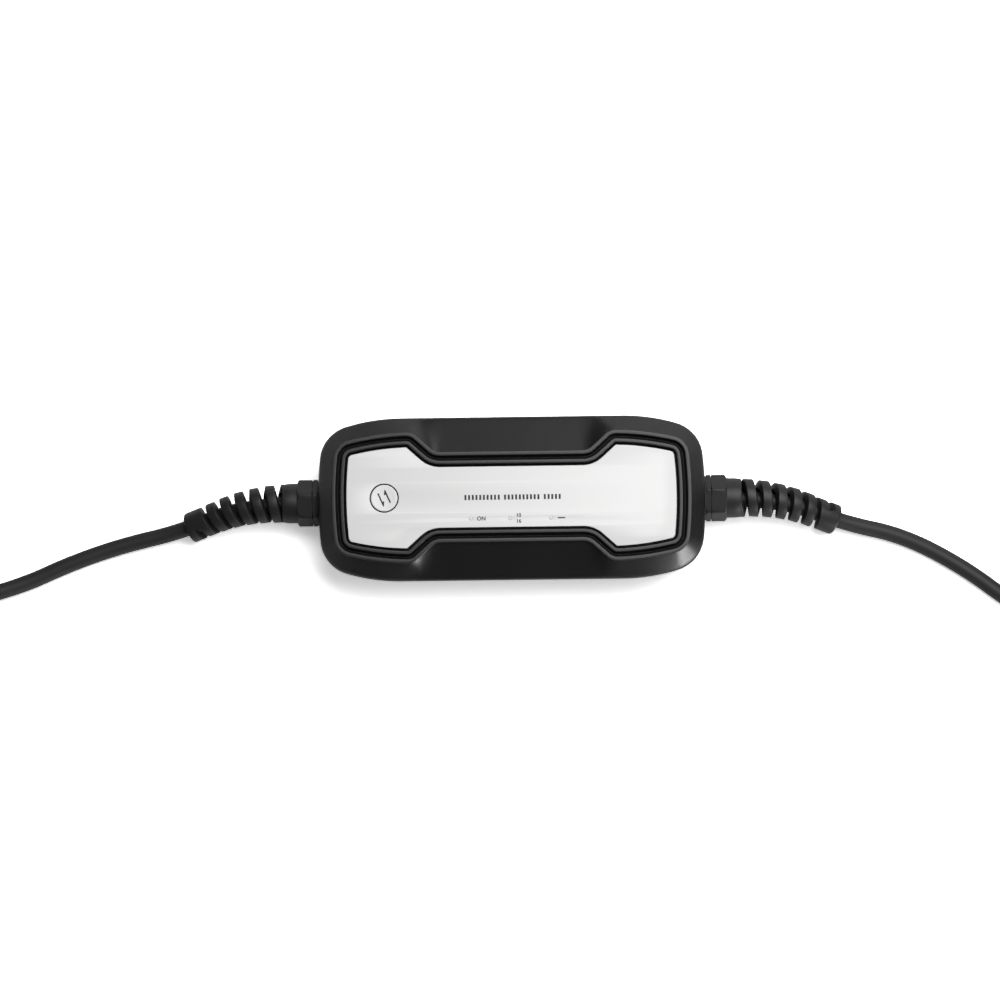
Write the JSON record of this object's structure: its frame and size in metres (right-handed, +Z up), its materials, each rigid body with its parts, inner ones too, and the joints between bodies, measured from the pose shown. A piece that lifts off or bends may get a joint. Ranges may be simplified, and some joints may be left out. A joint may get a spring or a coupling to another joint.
{
  "type": "portable electric vehicle charger",
  "caption": "In-cable control box with a bone-shaped face plate, push button and indicator windows, spiral-relief cable glands, a mains plug lead and a coiled charging cable with its connector.",
  "frame": {"origin": "under the middle of the control box, on the surface that it rests on", "axes": "+X along the box towards the vehicle cable, +Y across it away from the indicator windows, +Z up"},
  "size_m": [1.0397, 0.16, 0.1054],
  "materials": {
    "housing_plastic": "black moulded plastic, satin",
    "plate_finish": "pale grey, finely brushed",
    "button_plastic": "pale grey, satin",
    "clear_plastic": "clear diffusing plastic",
    "seal_rubber": "soft black rubber",
    "screw_steel": "zinc plated",
    "switch_plastic": "moulded",
    "board_laminate": "green coated glass laminate",
    "terminal_plastic": "moulded",
    "glass_tube": "glass with metal caps",
    "coil_winding": "lacquered winding",
    "can_aluminium": "sleeved can",
    "copper_wire": "tinned copper",
    "core_insulation": "soft insulation",
    "gland_plastic": "black polyamide, satin",
    "cable_jacket": "black soft jacket, satin",
    "plug_plastic": "black moulded, satin",
    "insert_plastic": "dark grey moulded",
    "contact_metal": "nickel plated brass"
  },
  "bodies": {
    "housing": {"cover": "housing_plastic", "base": "housing_plastic", "face_plate": "plate_finish", "power_light_pipe": "clear_plastic", "current_light_pipe": "clear_plastic", "fault_light_pipe": "clear_plastic", "indicator_leds": "clear_plastic", "housing_gasket": "seal_rubber", "left_gland_washer": "seal_rubber", "right_gland_washer": "seal_rubber", "left_gland_seal": "seal_rubber", "right_gland_seal": "seal_rubber", "housing_screws": "screw_steel", "board_screws": "screw_steel", "indicator_board_screws": "screw_steel", "tact_switch_body": "switch_plastic", "live_relay": "switch_plastic", "neutral_relay": "switch_plastic", "indicator_board": "board_laminate", "control_board": "board_laminate", "mains_terminal_block": "terminal_plastic", "output_terminal_block": "terminal_plastic", "mains_fuse": "glass_tube", "line_choke": "coil_winding", "supply_transformer": "coil_winding", "residual_current_coil": "coil_winding", "filter_capacitors": "can_aluminium", "sensor_conductors": "copper_wire", "link_ribbon": "core_insulation", "mains_cores": "core_insulation", "charging_cores": "core_insulation", "left_gland_body": "gland_plastic", "right_gland_body": "gland_plastic", "left_gland_locknut": "gland_plastic", "right_gland_locknut": "gland_plastic", "left_gland_nut": "gland_plastic", "right_gland_nut": "gland_plastic", "mains_cable": "cable_jacket", "charging_cable": "cable_jacket", "charging_cable_coil": "cable_jacket", "charging_cable_tail": "cable_jacket", "mains_plug_body": "plug_plastic", "connector_grip": "plug_plastic", "connector_insert": "insert_plastic", "connector_contacts": "contact_metal", "mains_plug_pins": "contact_metal", "mains_plug_earth_clips": "contact_metal"},
    "button": {"button_cap": "button_plastic", "button_o_ring": "seal_rubber", "button_clip": "screw_steel", "tact_switch_plunger": "switch_plastic"}
  },
  "joints": [
    {"name": "button_press", "type": "slide", "parent": "housing", "child": "button", "axis": [0, 0, -1], "range_m": [0, 0.0008], "stiffness_N_per_m": 1500}
  ]
}
